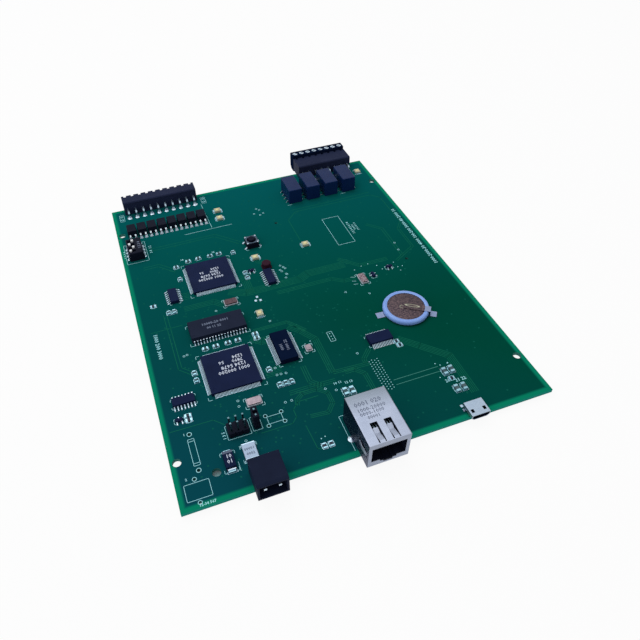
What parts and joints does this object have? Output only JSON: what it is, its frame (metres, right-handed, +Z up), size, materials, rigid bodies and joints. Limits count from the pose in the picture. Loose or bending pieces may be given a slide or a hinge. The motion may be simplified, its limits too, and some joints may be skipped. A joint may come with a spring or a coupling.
{
  "type": "microcontroller development board",
  "caption": "Green circuit board with two processors, network and USB sockets, a power entry, field wiring headers, relays and a coin cell.",
  "frame": {"origin": "centre of the four mounting holes on the underside of the laminate", "axes": "+X along the short side to the right, +Y along the long side from the network socket to the wiring headers, +Z up out of the component side"},
  "size_m": [0.1422, 0.1929, 0.0158],
  "materials": {
    "solder_mask": "green solder mask on glass-fibre laminate",
    "navy_plastic": "moulded relay case",
    "white_plastic": "moulded",
    "bright_metal": "nickel plated sheet",
    "cell_can": "brownish steel can",
    "violet_sleeve": "shrink sleeve",
    "pale_ceramic": "pale moulded body",
    "tan_ceramic": "sintered",
    "amber_lens": "clear amber resin",
    "tinned_metal": "tin plated",
    "brown_ferrite": "coated ferrite",
    "black_plastic": "moulded"
  },
  "bodies": {
    "board": {"bus_driver": "black_plastic", "bus_driver_leads": "tinned_metal", "capacitor_bodies": "tan_ceramic", "cell_sleeve": "violet_sleeve", "cell_tabs": "bright_metal", "chip_ends": "tinned_metal", "circuit_board": "solder_mask", "coin_cell": "cell_can", "crystal_bases": "black_plastic", "crystal_lids": "bright_metal", "dip_switch": "black_plastic", "dip_switch_pins": "tinned_metal", "fuse": "pale_ceramic", "fuse_ends": "tinned_metal", "header_blocks": "black_plastic", "header_posts": "tinned_metal", "inductor": "brown_ferrite", "jack_contacts": "tinned_metal", "jack_insert": "black_plastic", "jack_shield": "bright_metal", "key_base": "black_plastic", "key_cover": "bright_metal", "key_leads": "tinned_metal", "lamp_bodies": "white_plastic", "lamp_lenses": "amber_lens", "logic_chip_leads": "tinned_metal", "logic_chips": "black_plastic", "lower_processor": "black_plastic", "lower_processor_leads": "tinned_metal", "memory_chip": "black_plastic", "memory_chip_leads": "tinned_metal", "optocoupler_leads": "tinned_metal", "optocouplers": "black_plastic", "plug_header": "black_plastic", "plug_header_pins": "tinned_metal", "power_diode": "black_plastic", "power_diode_straps": "tinned_metal", "power_header": "black_plastic", "power_header_pins": "tinned_metal", "relay_1": "navy_plastic", "relay_2": "navy_plastic", "relay_3": "navy_plastic", "relay_4": "navy_plastic", "relay_leads": "tinned_metal", "resistor_bodies": "black_plastic", "upper_processor": "black_plastic", "upper_processor_leads": "tinned_metal", "usb_shell": "bright_metal", "usb_tongue": "black_plastic", "wiring_header": "black_plastic", "wiring_header_pins": "tinned_metal"},
    "key_button": {"key_button": "black_plastic"},
    "jumper": {"jumper_shunt": "black_plastic"},
    "plug": {"screw_plug": "black_plastic", "clamp_screws": "bright_metal", "clamp_cages": "black_plastic"},
    "slider_1": {"dip_slider_1": "white_plastic"},
    "slider_2": {"dip_slider_2": "white_plastic"},
    "slider_3": {"dip_slider_3": "white_plastic"},
    "slider_4": {"dip_slider_4": "white_plastic"}
  },
  "joints": [
    {"name": "reset_press", "type": "slide", "parent": "board", "child": "key_button", "axis": [0, 0, -1], "range_m": [0, 0.00025], "stiffness_N_per_m": 800, "springref_m": -0.0005},
    {"name": "jumper_pull", "type": "slide", "parent": "board", "child": "jumper", "axis": [0, 0, 1], "range_m": [0, 0.009]},
    {"name": "plug_pull", "type": "slide", "parent": "board", "child": "plug", "axis": [0, 1, 0], "range_m": [0, 0.014]},
    {"name": "dip_1_slide", "type": "slide", "parent": "board", "child": "slider_1", "axis": [1, 0, 0], "range_m": [-0.0016, 0]},
    {"name": "dip_2_slide", "type": "slide", "parent": "board", "child": "slider_2", "axis": [1, 0, 0], "range_m": [0, 0.0016]},
    {"name": "dip_3_slide", "type": "slide", "parent": "board", "child": "slider_3", "axis": [1, 0, 0], "range_m": [-0.0016, 0]},
    {"name": "dip_4_slide", "type": "slide", "parent": "board", "child": "slider_4", "axis": [1, 0, 0], "range_m": [0, 0.0016]}
  ]
}
